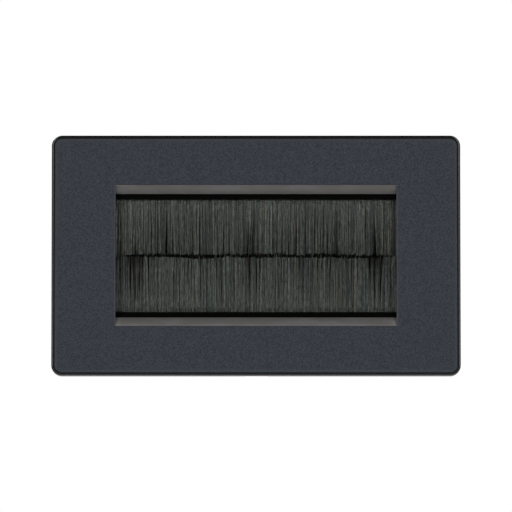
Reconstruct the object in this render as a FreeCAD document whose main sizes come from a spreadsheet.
import FreeCAD, Part
import math
import os
import random
import re
import Sketcher

# Brush cable grommet: a twin flat wall plate with two facing strips of nylon bristle.
# X runs across the plate, Z up, and the front faces -Y. The wall is the plane y = 0,
# and the origin lies midway between the two screws that hold the plate to its wall box.

doc = FreeCAD.newDocument("brush_cable_grommet")
TOLERANCE = 1e-4

# Driving dimensions, in millimetres
DIMENSIONS = {
    # face plate and the moulding that carries it
    "plate_width": 146,
    "plate_height": 86,
    "side_border": 22.85,
    "top_border": 17.7,
    "corner_radius": 3.75,
    "plate_gauge": 1.2,
    "plate_edge_bevel": 0.3,
    "opening_bevel": 0.15,
    "rim_width": 0.85,
    "rim_gap": 0.3,
    "rim_step": 0.3,
    "rim_rounding": 0.75,
    "tape_gauge": 0.2,
    "tape_inset": 0.6,
    "web_gauge": 1.4,
    "skirt_wall": 1.6,
    "barb_length": 8,
    "barb_reach": 0.6,
    "barb_rise": 0.95,
    "barb_lead": 0.45,
    "barb_setback": 0.2,
    "barb_play": 0.2,
    "barb_column": 36,
    "barb_row": 22,
    "pry_width": 8,
    "pry_depth": 1.2,
    # frame that is screwed to the wall box
    "frame_gauge": 3,
    "frame_play": 0.2,
    "front_play": 0.2,
    "notch_play": 0.4,
    "pocket_floor": 1.2,
    "pocket_border": 2.4,
    "rib_gauge": 2.4,
    "panel_count": 8,
    "boss_height": 14,
    "fixing_offset": 5.5,
    # fixing screws and the washers that keep them in the frame
    "thread_diameter": 3.5,
    "neck_undercut": 0.2,
    "head_diameter": 6.4,
    "head_drop": 0.2,
    "head_play": 0.05,
    "screw_length": 25,
    "screw_point": 0.6,
    "slot_width": 0.9,
    "slot_depth": 1.1,
    "hole_play": 0.2,
    "washer_diameter": 6,
    "washer_gauge": 0.5,
    "washer_play": 0.05,
    # rails of the brush module
    "rail_overlap": 0.35,
    "rail_tuck": 1.4,
    "rail_wall": 1.1,
    "rail_setback": 0.1,
    "nose_setback": 0.3,
    "nose_play": 0.05,
    "nose_flat": 0.6,
    "nose_wall": 0.5,
    "nose_rounding": 0.25,
    "rail_play": 0.3,
    "flange_gauge": 1,
    "flange_reach": 1.6,
    "flange_play": 0.2,
    "lip_rise": 0.4,
    "lip_set": 0.2,
    "lip_play": 0.1,
    "port_diameter": 2.2,
    "port_wall": 0.75,
    "port_sink": 0.35,
    "port_drop": 2.5,
    "port_mouth": 1.1,
    # channels that grip the bristle
    "channel_width": 5,
    "channel_wall": 0.5,
    "channel_show": 1.95,
    "channel_play": 0.05,
    "channel_end_play": 0.2,
    "channel_headroom": 0.1,
    "crimp_depth": 0.4,
    "crimp_drop": 0.1,
    "crimp_slope": 0.2,
    "mouth_flare": 0.2,
    # core wires and bristle
    "wire_diameter": 1.2,
    "wire_play": 0.02,
    "bristle_play": 0.05,
    "bristle_end_play": 0.4,
    "root_sink": 0.9,
    "tuft_bite": 0.3,
    "tuft_pitch": 1.9,
    "tuft_gap": 0.12,
    "tuft_ridge": 0.35,
    "row_gap": 0.2,
    "tip_share": 0.76,
    "front_tip_height": 0.25,
    "front_tip_ragged": 0.85,
    "rear_tip_height": 0.1,
    "rear_tip_ragged": 0.35,
    "tip_slant": 0.3,
    "tuft_sway": 0.28,
    # end cheeks with their snap arms, and the screws through them
    "cheek_gauge": 2,
    "cheek_margin": 2.9,
    "cheek_chamfer": 1.2,
    "arm_gauge": 0.8,
    "arm_gap": 1.1,
    "arm_play": 0.3,
    "arm_width": 6,
    "arm_spacing": 20,
    "arm_setback": 0.6,
    "arm_rise": 1.8,
    "catch_reach": 0.8,
    "catch_land": 0.4,
    "catch_slope": 1.2,
    "catch_depth": 1.4,
    "catch_play": 0.1,
    "catch_side_play": 0.5,
    "tapping_play": 0.05,
    "tapping_hole_play": 0.15,
    "tapping_length": 8,
    "tapping_point": 0.8,
    "tapping_head": 3.8,
    "tapping_head_rise": 1.4,
    "tapping_bevel": 0.4,
    "recess_width": 0.55,
    "recess_span": 2.2,
    "recess_depth": 0.8,
}

sheet = doc.addObject("Spreadsheet::Sheet", "Sizes")
for row, (alias, amount) in enumerate(DIMENSIONS.items(), start=1):
    sheet.set(f"A{row}", alias.replace("_", " "))
    sheet.set(f"B{row}", str(amount))
    sheet.setAlias(f"B{row}", alias)
doc.recompute()

# Sizes and places that follow from them. A depth is counted forwards from the wall.
PLACES = {
    # plate, carrier and frame
    "opening_width": "plate_width - 2 * side_border",
    "opening_height": "plate_height - 2 * top_border",
    "projection": "frame_gauge + front_play + web_gauge + tape_gauge + plate_gauge",
    "rim_front": "projection - rim_step",
    "plate_back": "projection - plate_gauge",
    "web_front": "plate_back - tape_gauge",
    "web_back": "web_front - web_gauge",
    "skirt_half_width": "plate_width / 2 - skirt_wall",
    "skirt_half_height": "plate_height / 2 - skirt_wall",
    "frame_half_width": "skirt_half_width - frame_play",
    "frame_half_height": "skirt_half_height - frame_play",
    # brush module in its window
    "rail_length": "opening_width + 2 * rail_overlap",
    "rail_height": "opening_height / 2 + rail_tuck",
    "cheek_outside": "rail_length / 2 + cheek_gauge",
    "arm_inside": "cheek_outside + arm_gap",
    "arm_outside": "arm_inside + arm_gauge",
    "window_half_width": "arm_outside + arm_play",
    "window_half_height": "rail_height + rail_play",
    "panel_pitch": "2 * window_half_width / panel_count",
    "flange_back": "frame_gauge - flange_gauge",
    "flange_top": "rail_height + flange_reach",
    # fixing screws
    "fixing_place": "window_half_width + fixing_offset",
    "fixing_hole": "thread_diameter + 2 * hole_play",
    "neck_diameter": "thread_diameter - 2 * neck_undercut",
    "head_front": "frame_gauge - head_drop",
    # section of a rail, from its pocket to its screw port
    "rail_front": "plate_back - rail_setback",
    "nose_front": "projection - nose_setback",
    "nose_top": "opening_height / 2 - nose_play",
    "nose_half_length": "opening_width / 2 - nose_play",
    "pocket_front": "rail_front - rail_wall",
    "pocket_width": "channel_width + 2 * channel_play",
    "pocket_top": "rail_height - rail_wall",
    "rail_inside": "pocket_width - pocket_front",
    "rail_back": "rail_inside + rail_wall",
    "port_centre": "rail_back - port_sink + port_diameter / 2 + port_wall",
    "port_height": "rail_height - port_drop",
    "tapping_diameter": "port_diameter - 2 * tapping_play",
    "cheek_back": "port_centre + cheek_margin",
    # section of a channel, downwards from the fold of the bristle to the mouth
    "channel_length": "rail_length - 2 * channel_end_play",
    "channel_centre": "pocket_width / 2 - pocket_front",
    "channel_top": "pocket_top - channel_headroom",
    "fold_radius": "channel_width / 2 - channel_wall - bristle_play",
    "fold_height": "channel_top - channel_wall - bristle_play - fold_radius",
    "crimp_top": "fold_height - crimp_drop",
    "neck_top": "crimp_top - crimp_slope",
    "neck_width": "channel_width - 2 * crimp_depth",
    "lip_height": "neck_top - lip_rise",
    "lip_reach": "crimp_depth + channel_play - lip_play",
    "rail_sight": "lip_height - lip_set",
    "mouth_width": "neck_width + 2 * mouth_flare",
    "channel_mouth": "rail_sight - channel_show",
    # bristle
    "bristle_length": "rail_length - 2 * bristle_end_play",
    "root_half_width": "neck_width / 2 - channel_wall - bristle_play",
    "root_height": "channel_mouth + root_sink",
    "tuft_root": "root_height + tuft_bite",
    "tuft_depth": "root_half_width - row_gap / 2 - bristle_play",
}


def bound(words):
    """Write an expression on the sheet from one in plain names."""
    def spelled(name):
        word = name.group()
        return f"({bound(PLACES[word])})" if word in PLACES else f"Sizes.{word}"
    return re.sub(r"[a-z][a-z_]*", spelled, words)


def number(words):
    """The present value of an expression in plain names."""
    return float(sheet.evalExpression(bound(words)))


class Profile:
    """A sketch on one of its body's origin planes, with every point tied to the sheet."""

    def __init__(self, body, name, role, offset="0"):
        self.sketch = body.newObject("Sketcher::SketchObject", name)
        plane = next(item for item in body.Origin.OriginFeatures if item.Role == role)
        self.sketch.AttachmentSupport = [(plane, "")]
        self.sketch.MapMode = "FlatFace"
        self.sketch.setExpression("AttachmentOffset.Base.z", bound(offset))

    def tie(self, kind, words, *where):
        place = self.sketch.addConstraint(Sketcher.Constraint(kind, *where, number(words)))
        self.sketch.setExpression(f"Constraints[{place}]", bound(words))

    def outline(self, points, centres=None):
        """Close a chain of lines; a side listed in centres is an arc about that point, clockwise or not."""
        centres = centres or {}
        spots = [FreeCAD.Vector(number(x), number(y), 0) for x, y in points]
        first = self.sketch.GeometryCount
        heads = []
        tails = []
        for side, start in enumerate(spots):
            end = spots[(side + 1) % len(spots)]
            if side not in centres:
                self.sketch.addGeometry(Part.LineSegment(start, end))
                heads.append(1)
                tails.append(2)
                continue
            centre_x, centre_y, clockwise = centres[side]
            centre = FreeCAD.Vector(number(centre_x), number(centre_y), 0)
            low, high = (end, start) if clockwise else (start, end)
            circle = Part.Circle(centre, FreeCAD.Vector(0, 0, 1), centre.distanceToPoint(start))
            self.sketch.addGeometry(Part.ArcOfCircle(circle, circle.parameter(low), circle.parameter(high)))
            heads.append(2 if clockwise else 1)
            tails.append(1 if clockwise else 2)
        for side in range(len(spots)):
            after = (side + 1) % len(spots)
            joint = (first + side, tails[side], first + after, heads[after])
            self.sketch.addConstraint(Sketcher.Constraint("Coincident", *joint))
        for side, (x, y) in enumerate(points):
            self.tie("DistanceX", x, -1, 1, first + side, heads[side])
            self.tie("DistanceY", y, -1, 1, first + side, heads[side])
        for side, (centre_x, centre_y, _) in centres.items():
            chord = spots[(side + 1) % len(spots)] - spots[side]
            if abs(chord.y) >= abs(chord.x):
                self.tie("DistanceX", centre_x, -1, 1, first + side, 3)
            else:
                self.tie("DistanceY", centre_y, -1, 1, first + side, 3)

    def rectangle(self, left, bottom, right, top):
        self.outline([(left, bottom), (right, bottom), (right, top), (left, top)])

    def rounded_rectangle(self, half_width, half_height, radius, middle_x="0", middle_y="0"):
        corners = []
        centres = {}
        for turn, (side_x, side_y) in enumerate([("+", "-"), ("+", "+"), ("-", "+"), ("-", "-")]):
            edge_x = f"{middle_x} {side_x} {half_width}"
            edge_y = f"{middle_y} {side_y} {half_height}"
            inner_x = f"{middle_x} {side_x} ({half_width} - {radius})"
            inner_y = f"{middle_y} {side_y} ({half_height} - {radius})"
            ends = [(inner_x, edge_y), (edge_x, inner_y)]
            corners += ends if turn % 2 == 0 else ends[::-1]
            centres[2 * turn] = (inner_x, inner_y, False)
        self.outline(corners, centres)

    def circle(self, x, y, radius):
        centre = FreeCAD.Vector(number(x), number(y), 0)
        place = self.sketch.addGeometry(Part.Circle(centre, FreeCAD.Vector(0, 0, 1), number(radius)))
        self.tie("DistanceX", x, -1, 1, place, 3)
        self.tie("DistanceY", y, -1, 1, place, 3)
        self.tie("Radius", radius, place)


def new_body(label):
    body = doc.addObject("PartDesign::Body", label)
    body.Label = label
    return body


def pad(body, profile, name, length, both=False, backwards=False):
    """Add material; a sketch on the XZ plane grows forwards unless it is sent backwards."""
    feature = body.newObject("PartDesign::Pad", name)
    feature.Profile = profile.sketch
    feature.setExpression("Length", bound(length))
    feature.SideType = "Symmetric" if both else "One side"
    feature.Reversed = backwards
    doc.recompute()
    return feature


def pocket(body, profile, name, length, both=False, forwards=False):
    """Remove material; a sketch on the XZ plane cuts backwards unless it is sent forwards."""
    before = body.Shape.Volume
    feature = body.newObject("PartDesign::Pocket", name)
    feature.Profile = profile.sketch
    feature.setExpression("Length", bound(length))
    feature.SideType = "Symmetric" if both else "One side"
    feature.Reversed = forwards
    doc.recompute()
    if body.Shape.Volume >= before:
        raise RuntimeError(f"{name} removes nothing from {body.Label}")
    return feature


def revolve(body, profile, name, cutting=False):
    """Turn a sketch about its upright axis, as a solid or as a groove."""
    before = body.Shape.Volume if cutting else 0
    feature = body.newObject("PartDesign::Groove" if cutting else "PartDesign::Revolution", name)
    feature.Profile = profile.sketch
    feature.ReferenceAxis = (profile.sketch, ["V_Axis"])
    feature.Angle = 360
    doc.recompute()
    if cutting and body.Shape.Volume >= before:
        raise RuntimeError(f"{name} removes nothing from {body.Label}")
    return feature


def mirror(body, features, name, role):
    """Repeat features on the other side of one of the body's origin planes."""
    before = body.Shape.Volume
    plane = next(item for item in body.Origin.OriginFeatures if item.Role == role)
    feature = body.newObject("PartDesign::Mirrored", name)
    feature.Originals = features
    feature.MirrorPlane = (plane, [""])
    body.Tip = feature
    doc.recompute()
    if math.isclose(body.Shape.Volume, before, rel_tol=1e-9):
        raise RuntimeError(f"{name} repeats nothing on {body.Label}")
    return feature


def pick_edges(feature, test):
    """Names of the edges whose box passes a test."""
    return [f"Edge{place}" for place, edge in enumerate(feature.Shape.Edges, start=1) if test(edge.BoundBox)]


def lies_at(low, high, words):
    """True where a box is flat and lies at one coordinate."""
    return abs(low - number(words)) < TOLERANCE and abs(high - number(words)) < TOLERANCE


def dress(body, kind, name, feature, names, amount):
    """Round or bevel named edges."""
    if not names:
        raise RuntimeError(f"{name} finds no edge on {body.Label}")
    edge_work = body.newObject(f"PartDesign::{kind}", name)
    edge_work.Base = (feature, names)
    edge_work.setExpression("Radius" if kind == "Fillet" else "Size", bound(amount))
    doc.recompute()
    return edge_work


HALF_TURN = FreeCAD.Placement(FreeCAD.Vector(0, 0, 0), FreeCAD.Rotation(FreeCAD.Vector(0, 1, 0), 180))


def front_plate():
    """Flat painted metal plate with a sharp-cornered opening."""
    body = new_body("front_plate")
    outside = Profile(body, "plate_outline", "XZ_Plane", "plate_back")
    inset = "(rim_width + rim_gap)"
    outside.rounded_rectangle(f"(plate_width / 2 - {inset})", f"(plate_height / 2 - {inset})",
                              f"(corner_radius - {inset})")
    blank = pad(body, outside, "plate_blank", "plate_gauge")
    rim = pick_edges(blank, lambda box: lies_at(box.YMin, box.YMax, "-projection"))
    dress(body, "Chamfer", "plate_edge", blank, rim, "plate_edge_bevel")
    opening = Profile(body, "opening_outline", "XZ_Plane", "projection")
    opening.rectangle("-opening_width / 2", "-opening_height / 2", "opening_width / 2", "opening_height / 2")
    pierced = pocket(body, opening, "plate_opening", "plate_gauge")
    reach = number("opening_width / 2") + TOLERANCE
    mouth = pick_edges(pierced, lambda box: lies_at(box.YMin, box.YMax, "-projection")
                       and -reach < box.XMin and box.XMax < reach
                       and max(abs(box.ZMin), abs(box.ZMax)) < number("opening_height / 2") + TOLERANCE)
    dress(body, "Chamfer", "opening_edge", pierced, mouth, "opening_bevel")
    return body


def adhesive_gasket():
    """Thin double-sided foam ring between the plate and its carrier."""
    body = new_body("adhesive_gasket")
    ring = Profile(body, "gasket_outline", "XZ_Plane", "web_front")
    inset = "(rim_width + rim_gap + tape_inset)"
    ring.rounded_rectangle(f"(plate_width / 2 - {inset})", f"(plate_height / 2 - {inset})",
                           f"(corner_radius - {inset})")
    ring.rectangle("-cheek_outside - rail_play", "-window_half_height",
                   "cheek_outside + rail_play", "window_half_height")
    pad(body, ring, "gasket_ring", "tape_gauge")
    return body


def add_barb(body, name, side, role):
    """One snap barb inside the skirt, on the side that points along +1 or -1, and its twin."""
    across = "skirt_half_height" if role == "YZ_Plane" else "skirt_half_width"
    station = "barb_column" if role == "YZ_Plane" else "barb_row"
    sign = "" if side > 0 else "-"
    wall = f"{sign}({across} + skirt_wall / 4)"
    root = f"{sign}{across}"
    tip = f"{sign}({across} - barb_reach)"
    catch = "-(barb_setback + barb_rise)"
    land = "-(barb_setback + barb_lead)"
    section = [("-barb_setback", root), (land, tip), (catch, tip), (catch, wall), ("-barb_setback", wall)]
    if role == "XY_Plane":
        section = [(along, depth) for depth, along in section]
    profile = Profile(body, f"{name}_section", role, station)
    profile.outline(section)
    barb = pad(body, profile, name, "barb_length", both=True)
    mirror(body, [barb], f"{name}_twin", role)


def plate_carrier():
    """Black moulding that shows as a thin rim round the plate and snaps over the frame."""
    body = new_body("plate_carrier")
    outside = Profile(body, "carrier_outline", "XZ_Plane")
    outside.rounded_rectangle("plate_width / 2", "plate_height / 2", "corner_radius")
    blank = pad(body, outside, "carrier_blank", "rim_front")
    rim = pick_edges(blank, lambda box: lies_at(box.YMin, box.YMax, "-rim_front"))
    dress(body, "Fillet", "rim_edge", blank, rim, "rim_rounding")
    seat = Profile(body, "plate_seat_outline", "XZ_Plane", "rim_front")
    seat.rounded_rectangle("(plate_width / 2 - rim_width)", "(plate_height / 2 - rim_width)",
                           "(corner_radius - rim_width)")
    pocket(body, seat, "plate_seat", "rim_front - web_front")
    hollow = Profile(body, "skirt_outline", "XZ_Plane")
    hollow.rounded_rectangle("skirt_half_width", "skirt_half_height", "(corner_radius - skirt_wall)")
    pocket(body, hollow, "skirt_hollow", "web_back", forwards=True)
    window = Profile(body, "carrier_window_outline", "XZ_Plane", "web_front")
    window.rectangle("-cheek_outside - rail_play", "-window_half_height",
                     "cheek_outside + rail_play", "window_half_height")
    pocket(body, window, "carrier_window", "web_gauge")
    for name, side, role in [("top_barb", 1, "YZ_Plane"), ("bottom_barb", -1, "YZ_Plane"),
                             ("right_barb", 1, "XY_Plane"), ("left_barb", -1, "XY_Plane")]:
        add_barb(body, name, side, role)
    notch = Profile(body, "pry_notch_outline", "XZ_Plane")
    notch.rectangle("-pry_width / 2", "-plate_height / 2 - skirt_wall", "pry_width / 2",
                    "-skirt_half_height + skirt_wall / 4")
    pocket(body, notch, "pry_notch", "pry_depth", forwards=True)
    return body


def mounting_frame():
    """Moulded frame that is screwed to the wall box and holds the brush module."""
    body = new_body("mounting_frame")
    outside = Profile(body, "frame_outline", "XZ_Plane")
    outside.rounded_rectangle("frame_half_width", "frame_half_height",
                              "(corner_radius - skirt_wall - frame_play)")
    outside.rectangle("-window_half_width", "-window_half_height", "window_half_width", "window_half_height")
    pad(body, outside, "frame_blank", "frame_gauge")

    step = Profile(body, "flange_seat_outline", "XZ_Plane", "frame_gauge")
    reach = "(flange_top + flange_play)"
    step.rectangle("-rail_length / 2 - flange_play", f"-{reach}", "rail_length / 2 + flange_play", reach)
    pocket(body, step, "flange_seat", "flange_gauge")

    # Notches in the rear edge, one behind each barb of the carrier
    barbs = Profile(body, "barb_notch_outlines", "XZ_Plane")
    half_notch = "(barb_length / 2 + notch_play)"
    deep = "(barb_reach + notch_play)"
    for sign in ("", "-"):
        for other in ("", "-"):
            barbs.rectangle(f"{other}barb_column - {half_notch}", f"{sign}(skirt_half_height - {deep})",
                            f"{other}barb_column + {half_notch}", f"{sign}(skirt_half_height + skirt_wall)")
            barbs.rectangle(f"{sign}(skirt_half_width - {deep})", f"{other}barb_row - {half_notch}",
                            f"{sign}(skirt_half_width + skirt_wall)", f"{other}barb_row + {half_notch}")
    pocket(body, barbs, "barb_notches", "barb_setback + barb_rise + barb_play", forwards=True)

    # Notches beside the window, one behind each snap arm of the module
    catches = Profile(body, "catch_notch_outlines", "XZ_Plane")
    half_catch = "(arm_width / 2 + catch_side_play)"
    inner = "(window_half_width - arm_play)"
    outer = "(arm_outside + catch_reach + catch_side_play)"
    for sign in ("", "-"):
        for other in ("", "-"):
            catches.rectangle(f"{sign}{inner}", f"{other}arm_spacing / 2 - {half_catch}",
                              f"{sign}{outer}", f"{other}arm_spacing / 2 + {half_catch}")
    pocket(body, catches, "catch_notches", "catch_depth", forwards=True)

    # Countersunk fixing holes, with a shallow recess behind for the washer
    bores = [("bore", "frame_gauge", "fixing_hole / 2", "frame_gauge", False),
             ("washer_recess", "0", "washer_diameter / 2 + washer_play", "washer_gauge + washer_play", True)]
    for name, level, radius, depth, forwards in bores:
        circles = Profile(body, f"{name}_outlines", "XZ_Plane", level)
        for sign in ("", "-"):
            circles.circle(f"{sign}fixing_place", "0", radius)
        holes = pocket(body, circles, name, depth, forwards=forwards)
    sinks = pick_edges(holes, lambda box: lies_at(box.YMin, box.YMax, "-frame_gauge")
                       and abs(box.XLength - number("fixing_hole")) < TOLERANCE)
    sink_depth = "(head_diameter - fixing_hole) / 2 + head_play + head_drop"
    dress(body, "Chamfer", "countersinks", holes, sinks, sink_depth)

    # The screw bosses stand full height between shallow pockets
    corners = Profile(body, "corner_pocket_outlines", "XZ_Plane", "frame_gauge")
    high = "(frame_half_height - pocket_border)"
    for sign in ("", "-"):
        for other in ("", "-"):
            corners.rectangle(f"{sign}(window_half_width + pocket_border)", f"{other}boss_height / 2",
                              f"{sign}(frame_half_width - pocket_border)", f"{other}{high}")
    pocket(body, corners, "corner_pockets", "frame_gauge - pocket_floor")

    # Shallow panels leave a row of ribs along the top and bottom members
    panels = Profile(body, "panel_outlines", "XZ_Plane", "frame_gauge")
    for sign in ("", "-"):
        panels.rectangle("-window_half_width + rib_gauge / 2", f"{sign}({reach} + pocket_border / 2)",
                         "-window_half_width + panel_pitch - rib_gauge / 2", f"{sign}{high}")
    first = pocket(body, panels, "first_panels", "frame_gauge - pocket_floor")
    panel_row = body.newObject("PartDesign::LinearPattern", "panel_row")
    panel_row.Originals = [first]
    panel_row.Direction = (panels.sketch, ["H_Axis"])
    panel_row.Mode = "Spacing"
    panel_row.setExpression("Offset", bound("panel_pitch"))
    panel_row.setExpression("Occurrences", bound("panel_count"))
    body.Tip = panel_row
    doc.recompute()
    return body


def fixing_screw(label, sign):
    """Countersunk machine screw with a plain neck and a straight slot."""
    body = new_body(label)
    head = "(head_diameter / 2)"
    neck = "(neck_diameter / 2)"
    thread = "(thread_diameter / 2)"
    tip = "(screw_length - head_front)"
    section = Profile(body, f"{label}_section", "XY_Plane")
    section.outline([
        ("0", "-head_front"), ("0", tip), (f"{thread} - screw_point", tip), (thread, f"{tip} - screw_point"),
        (thread, "0"), (neck, "0"), (neck, f"-head_front + {head} - {neck}"), (head, "-head_front"),
    ])
    revolve(body, section, f"{label}_turning")
    slot = Profile(body, f"{label}_slot_outline", "XZ_Plane", "head_front")
    slot.rectangle(f"-{head}", "-slot_width / 2", head, "slot_width / 2")
    pocket(body, slot, f"{label}_slot", "slot_depth")
    body.setExpression("Placement.Base.x", bound(f"{sign}fixing_place"))
    return body


def screw_washer(label, sign):
    """Thin nylon washer that stops a fixing screw from dropping out of the frame."""
    body = new_body(label)
    ring = Profile(body, f"{label}_outline", "XZ_Plane")
    ring.circle("0", "0", "washer_diameter / 2")
    ring.circle("0", "0", "neck_diameter / 2 + washer_play")
    pad(body, ring, f"{label}_ring", "washer_gauge")
    body.setExpression("Placement.Base.x", bound(f"{sign}fixing_place"))
    return body


def rail(label, placement):
    """Extruded bar with a nose in the plate's opening, a seat flange, a pocket and a screw port."""
    body = new_body(label)
    front = "-rail_front"
    nose_edge = "-pocket_front - nose_wall"
    inner_front = "-pocket_front"
    front_lip = f"{inner_front} + lip_reach"
    rear_lip = "rail_inside - lip_reach"
    section = Profile(body, f"{label}_section", "YZ_Plane")
    section.outline([
        (front, "rail_height"), (front, "nose_top"), ("-nose_front", "nose_top"),
        ("-nose_front", "nose_top - nose_flat"), (nose_edge, "rail_sight"),
        (inner_front, "rail_sight"), (inner_front, "lip_height"), (front_lip, "lip_height"),
        (front_lip, "neck_top"), (inner_front, "neck_top"), (inner_front, "pocket_top"),
        ("rail_inside", "pocket_top"), ("rail_inside", "neck_top"), (rear_lip, "neck_top"),
        (rear_lip, "lip_height"), ("rail_inside", "lip_height"), ("rail_inside", "rail_sight"),
        ("rail_back", "rail_sight"), ("rail_back", "rail_height"), ("-flange_back", "rail_height"),
        ("-flange_back", "flange_top"), ("-frame_gauge", "flange_top"), ("-frame_gauge", "rail_height"),
    ])
    bar = pad(body, section, f"{label}_bar", "rail_length", both=True)
    nose = pick_edges(bar, lambda box: box.XLength > number("rail_length / 2")
                      and lies_at(box.ZMin, box.ZMax, "rail_sight")
                      and lies_at(box.YMin, box.YMax, nose_edge))
    dress(body, "Fillet", f"{label}_nose", bar, nose, "nose_rounding")
    ends = Profile(body, f"{label}_nose_end_outlines", "XZ_Plane", "rail_front")
    for sign in ("", "-"):
        ends.rectangle(f"{sign}nose_half_length", "rail_sight - nose_play",
                       f"{sign}(rail_length / 2 + nose_play)", "nose_top + nose_play")
    pocket(body, ends, f"{label}_nose_ends", "nose_front - rail_front", forwards=True)
    port = Profile(body, f"{label}_port_outline", "YZ_Plane")
    port.circle("port_centre", "port_height", "port_diameter / 2 + port_wall")
    port.circle("port_centre", "port_height", "port_diameter / 2")
    pad(body, port, f"{label}_port", "rail_length", both=True)
    mouth = Profile(body, f"{label}_port_mouth_outline", "YZ_Plane")
    mouth.rectangle("port_centre", "port_height - port_mouth / 2",
                    "port_centre + port_diameter / 2 + 2 * port_wall", "port_height + port_mouth / 2")
    pocket(body, mouth, f"{label}_port_mouth", "rail_length + 1", both=True)
    body.Placement = placement
    return body


def channel(label, placement):
    """Folded steel channel, crimped to a neck below the core wire."""
    body = new_body(label)
    stations = [("channel_width", "crimp_top"), ("neck_width", "neck_top"), ("neck_width", "lip_height"),
                ("mouth_width", "lip_height - crimp_slope"), ("mouth_width", "channel_mouth")]
    outer = [("channel_width", "channel_top")] + stations
    inner = [("channel_width", "channel_top - channel_wall")] + stations
    right = [(f"channel_centre + {width} / 2", z) for width, z in outer]
    left = [(f"channel_centre - {width} / 2", z) for width, z in outer[::-1]]
    right_inner = [(f"channel_centre + {width} / 2 - channel_wall", z) for width, z in inner[::-1]]
    left_inner = [(f"channel_centre - {width} / 2 + channel_wall", z) for width, z in inner]
    section = Profile(body, f"{label}_section", "YZ_Plane")
    section.outline(right + right_inner + left_inner + left)
    folded = pad(body, section, f"{label}_strip", "channel_length", both=True)
    bends = pick_edges(folded, lambda box: box.XLength > number("channel_length / 2")
                       and lies_at(box.ZMin, box.ZMax, "channel_top"))
    dress(body, "Fillet", f"{label}_bends", folded, bends, "channel_wall")
    body.Placement = placement
    return body


def core_wire(label, placement):
    """Round steel wire that the bristle is folded over."""
    wire = doc.addObject("Part::Cylinder", label)
    wire.Label = label
    wire.setExpression("Radius", bound("wire_diameter / 2"))
    wire.setExpression("Height", bound("channel_length"))
    along_x = FreeCAD.Rotation(FreeCAD.Vector(0, 1, 0), 90)
    start = FreeCAD.Vector(-number("channel_length") / 2, number("channel_centre"), number("fold_height"))
    wire.Placement = placement.multiply(FreeCAD.Placement(start, along_x))
    return wire


def tuft(middle_x, middle_y, width, lean, tip, slant):
    """One tapered tuft of bristle with six sides and a slanting tip."""
    depth = number("tuft_depth")
    ridge = number("tuft_ridge")
    rings = []
    for share, shift, height in [(1.0, 0.0, number("tuft_root")), (number("tip_share"), lean, tip)]:
        wide = share * width / 2
        deep = share * depth / 2
        flat = deep - share * ridge
        ring = [(wide, -flat), (wide, flat), (0.0, deep), (-wide, flat), (-wide, -flat), (0.0, -deep)]
        rings.append([FreeCAD.Vector(middle_x + shift + x, middle_y + y, height) for x, y in ring])
    root, blunt = rings
    cut = []
    for low, high in zip(root, blunt):
        run = high - low
        wanted = tip + slant * (low.x - middle_x - lean) - low.z
        cut.append(low + run * (wanted / (run.z - slant * run.x)))
    sides = []
    for place in range(len(root)):
        after = (place + 1) % len(root)
        sides.append([root[place], root[after], cut[after], cut[place]])
    faces = [Part.Face(Part.makePolygon(corners + corners[:1])) for corners in sides + [root, cut]]
    return Part.makeSolid(Part.makeShell(faces))


def bristle_set(label, placement, seed):
    """Bristle folded over its wire: a packed root held in the channel, and two staggered rows of tufts."""
    chance = random.Random(seed)
    middle_y = number("channel_centre")
    radius = number("fold_radius")
    fold = number("fold_height")
    half_neck = number("root_half_width")
    slope_top = number("crimp_top + bristle_play")
    slope_low = number("neck_top + bristle_play")
    low = number("root_height")
    length = number("bristle_length")

    def spot(y, z):
        return FreeCAD.Vector(-length / 2, middle_y + y, z)

    right = [spot(radius, fold), spot(radius, slope_top), spot(half_neck, slope_low), spot(half_neck, low)]
    left = [spot(-half_neck, low), spot(-half_neck, slope_low), spot(-radius, slope_top), spot(-radius, fold)]
    corners = right + left
    edges = [Part.LineSegment(start, end).toShape() for start, end in zip(corners, corners[1:])]
    edges.append(Part.Arc(corners[-1], spot(0, fold + radius), corners[0]).toShape())
    root = Part.Face(Part.Wire(edges)).extrude(FreeCAD.Vector(length, 0, 0))
    along_x = FreeCAD.Vector(1, 0, 0)
    bore = Part.makeCylinder(number("wire_diameter / 2 + wire_play"), length, spot(0, fold), along_x)
    count = round(length / number("tuft_pitch"))
    pitch = length / count
    width = pitch - number("tuft_gap")
    row_offset = number("(tuft_depth + row_gap) / 2")
    tufts = []
    for row, row_name, tufts_in_row in [(-1, "front", count), (1, "rear", count - 1)]:
        for place in range(tufts_in_row):
            inner = 0 < place < tufts_in_row - 1
            lean = chance.uniform(-1, 1) * number("tuft_sway") if inner else 0.0
            slant = chance.uniform(-1, 1) * number("tip_slant")
            lowest = number(f"{row_name}_tip_height") + chance.random() * number(f"{row_name}_tip_ragged")
            tip = lowest + abs(slant) * width / 2
            middle_x = (place - (tufts_in_row - 1) / 2) * pitch
            tufts.append(tuft(middle_x, middle_y + row * row_offset, width, lean, tip, slant))
    bristles = doc.addObject("Part::Feature", label)
    bristles.Label = label
    bristles.Shape = root.cut(bore).multiFuse(tufts)
    bristles.Placement = placement
    return bristles


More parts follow.
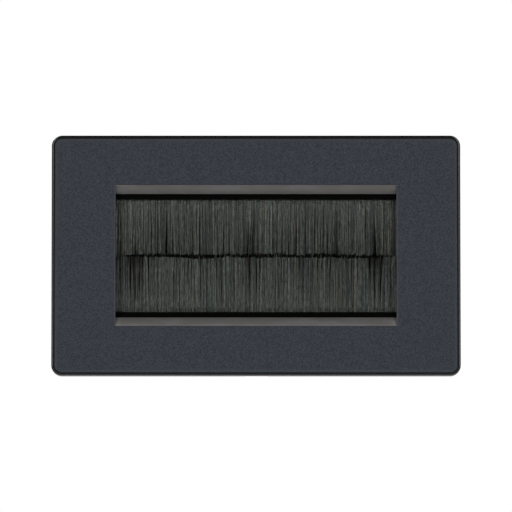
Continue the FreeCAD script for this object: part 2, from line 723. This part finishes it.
def end_cheek(label, placement):
    """Moulded end piece with two screw holes and two springy arms that catch in the frame."""
    body = new_body(label)
    outline = Profile(body, f"{label}_outline", "YZ_Plane", "rail_length / 2")
    half = "rail_height"
    outline.outline([
        ("-rail_front", f"-{half}"), ("cheek_back - cheek_chamfer", f"-{half}"),
        ("cheek_back", f"-{half} + cheek_chamfer"), ("cheek_back", f"{half} - cheek_chamfer"),
        ("cheek_back - cheek_chamfer", half), ("-rail_front", half),
    ])
    for sign in ("", "-"):
        outline.circle("port_centre", f"{sign}port_height", "tapping_diameter / 2 + tapping_hole_play")
    pad(body, outline, f"{label}_plate", "cheek_gauge")
    catch_front = "-(catch_depth - catch_play)"
    catch_tip = "arm_outside + catch_reach"
    arm_back = "(cheek_back - arm_setback)"
    arm_root = "cheek_outside - cheek_gauge / 4"
    arm = Profile(body, f"{label}_arm_section", "XY_Plane", "arm_spacing / 2")
    arm.outline([
        (arm_root, f"{arm_back} - arm_gauge"), ("arm_inside", f"{arm_back} - arm_gauge"),
        ("arm_inside", "-arm_rise"), ("arm_outside", "-arm_rise"), ("arm_outside", catch_front),
        (catch_tip, catch_front), (catch_tip, f"{catch_front} + catch_land"),
        ("arm_outside", f"{catch_front} + catch_land + catch_slope"), ("arm_outside", arm_back),
        (arm_root, arm_back),
    ])
    spring = pad(body, arm, f"{label}_arm", "arm_width", both=True)
    mirror(body, [spring], f"{label}_arm_twin", "XY_Plane")
    body.Placement = placement
    return body


def cheek_screw(label, side, level):
    """Small pan-head tapping screw that ties a cheek to a rail."""
    body = new_body(label)
    head = "(tapping_head / 2)"
    shank = "(tapping_diameter / 2)"
    section = Profile(body, f"{label}_section", "XZ_Plane")
    section.outline([
        ("0", "tapping_head_rise"), ("0", "-tapping_length"), (f"{shank} / 3", "-tapping_length"),
        (shank, "-tapping_length + tapping_point"), (shank, "0"), (head, "0"),
        (head, "tapping_head_rise - tapping_bevel"), (f"{head} - tapping_bevel", "tapping_head_rise"),
    ])
    revolve(body, section, f"{label}_turning")
    recess = Profile(body, f"{label}_recess_outline", "XY_Plane", "tapping_head_rise")
    long = "(recess_span / 2)"
    short = "(recess_width / 2)"
    recess.outline([
        (short, f"-{long}"), (short, f"-{short}"), (long, f"-{short}"),
        (long, short), (short, short), (short, long),
        (f"-{short}", long), (f"-{short}", short), (f"-{long}", short),
        (f"-{long}", f"-{short}"), (f"-{short}", f"-{short}"), (f"-{short}", f"-{long}"),
    ])
    pocket(body, recess, f"{label}_recess", "recess_depth")
    turn = FreeCAD.Rotation(FreeCAD.Vector(0, 1, 0), 90 * side)
    outside = side * number("cheek_outside")
    spot = FreeCAD.Vector(outside, number("port_centre"), level * number("port_height"))
    body.Placement = FreeCAD.Placement(spot, turn)
    return body


upright = FreeCAD.Placement()
nodes = [front_plate(), adhesive_gasket(), plate_carrier(), mounting_frame()]
for side, sign in [("right", ""), ("left", "-")]:
    nodes.append(fixing_screw(f"{side}_fixing_screw", sign))
    nodes.append(screw_washer(f"{side}_screw_washer", sign))
for seed, (level, placement) in enumerate([("upper", upright), ("lower", HALF_TURN)]):
    nodes.append(rail(f"{level}_rail", placement))
    nodes.append(channel(f"{level}_channel", placement))
    nodes.append(core_wire(f"{level}_core_wire", placement))
    nodes.append(bristle_set(f"{level}_bristles", placement, seed))
for side, placement, sign in [("right", upright, 1), ("left", HALF_TURN, -1)]:
    nodes.append(end_cheek(f"{side}_end_cheek", placement))
    for level, height in [("upper", 1), ("lower", -1)]:
        nodes.append(cheek_screw(f"{side}_{level}_cheek_screw", sign, height))
doc.recompute()

for item in doc.Objects:
    if "Invalid" in item.State or "Error" in item.State:
        raise RuntimeError(f"{item.Label} failed to build")
for node in nodes:
    if node.Shape.isNull() or not node.Shape.isValid():
        raise RuntimeError(f"{node.Label} is not a sound shape")

os.makedirs("parts", exist_ok=True)
for node in nodes:
    node.Shape.exportStep(f"parts/{node.Label}.step")
    box = node.Shape.BoundBox
    print(f"{node.Label}: {len(node.Shape.Solids)} solid, {node.Shape.Volume:.1f} mm3,",
          f"x {box.XMin:.2f} to {box.XMax:.2f},",
          f"y {box.YMin:.2f} to {box.YMax:.2f},",
          f"z {box.ZMin:.2f} to {box.ZMax:.2f}")
